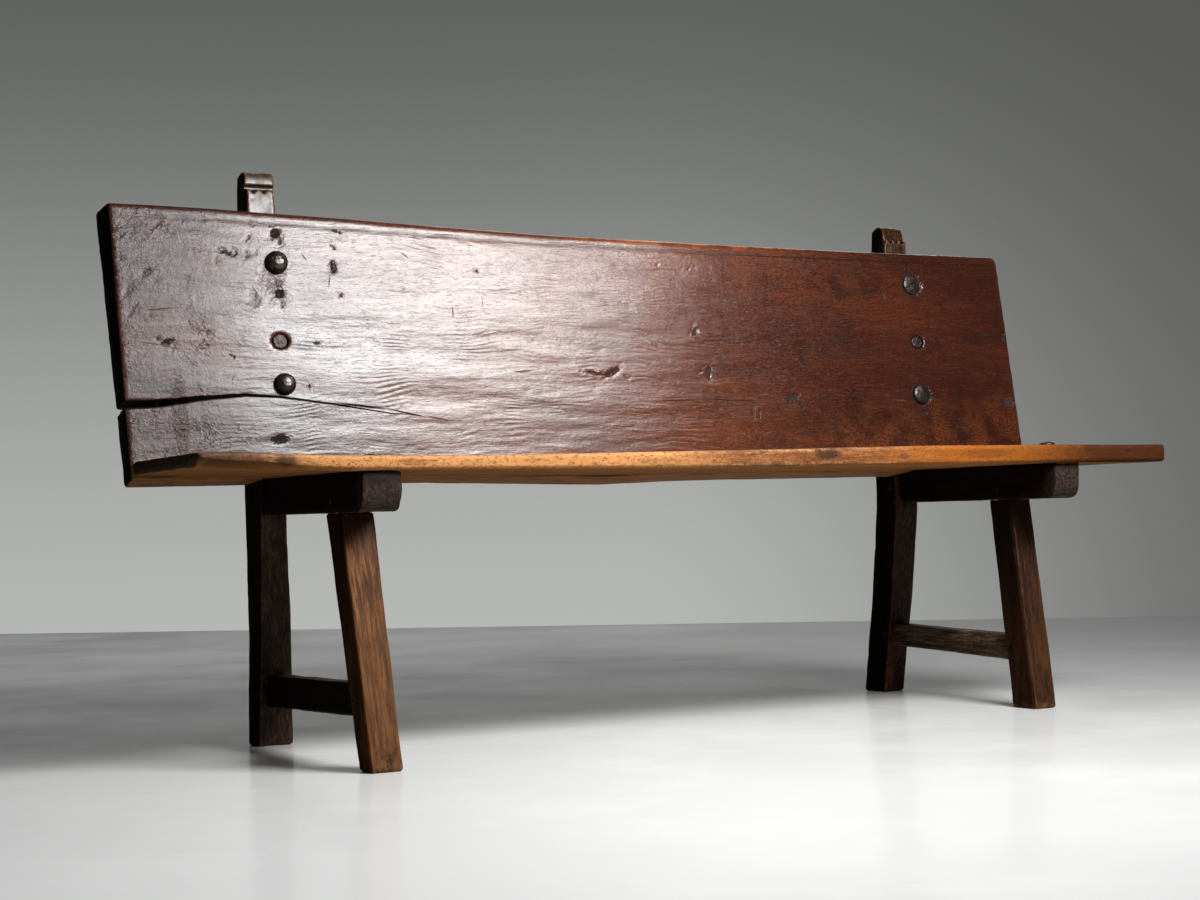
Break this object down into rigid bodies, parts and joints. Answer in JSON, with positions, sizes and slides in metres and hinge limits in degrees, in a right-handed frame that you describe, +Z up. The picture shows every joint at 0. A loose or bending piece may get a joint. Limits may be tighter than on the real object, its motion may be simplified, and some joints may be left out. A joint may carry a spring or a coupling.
{
  "type": "monks bench",
  "caption": "Rustic plank bench with a leaning plank back, pegged trestles whose rear posts rise behind the back to carved scrolls, and domed iron nails.",
  "frame": {"origin": "on the floor, under the middle of the bench's bounding box", "axes": "+Z up, +X along the bench towards its right end as seen from the front, +Y towards the back"},
  "size_m": [1.7542, 0.59, 0.9291],
  "materials": {
    "seat_wood": "hand-polished honey-brown plank, worn bright on its front edge",
    "back_wood": "waxed dark red-brown plank, uneven and dented, semi-gloss",
    "trestle_wood": "dry dark brown hewn timber, worn paler on its edges, low sheen",
    "peg_wood": "dark end grain of riven pegs",
    "forged_iron": "forged nail heads, blackened and rubbed bright on their crowns"
  },
  "bodies": {
    "root": {"seat_plank": "seat_wood", "back_plank": "back_wood", "left_post": "trestle_wood", "left_rail": "trestle_wood", "left_front_leg": "trestle_wood", "left_stretcher": "trestle_wood", "left_back_peg": "peg_wood", "left_rail_peg_front": "peg_wood", "left_rail_peg_rear": "peg_wood", "left_stretcher_peg_front": "peg_wood", "left_stretcher_peg_rear": "peg_wood", "left_back_nail_upper": "forged_iron", "left_back_nail_lower": "forged_iron", "left_seat_nail_front": "forged_iron", "left_seat_nail_rear": "forged_iron", "right_post": "trestle_wood", "right_rail": "trestle_wood", "right_front_leg": "trestle_wood", "right_stretcher": "trestle_wood", "right_back_peg": "peg_wood", "right_rail_peg_front": "peg_wood", "right_rail_peg_rear": "peg_wood", "right_stretcher_peg_front": "peg_wood", "right_stretcher_peg_rear": "peg_wood", "right_back_nail_upper": "forged_iron", "right_back_nail_lower": "forged_iron", "right_seat_nail_front": "forged_iron", "right_seat_nail_rear": "forged_iron"}
  },
  "joints": []
}
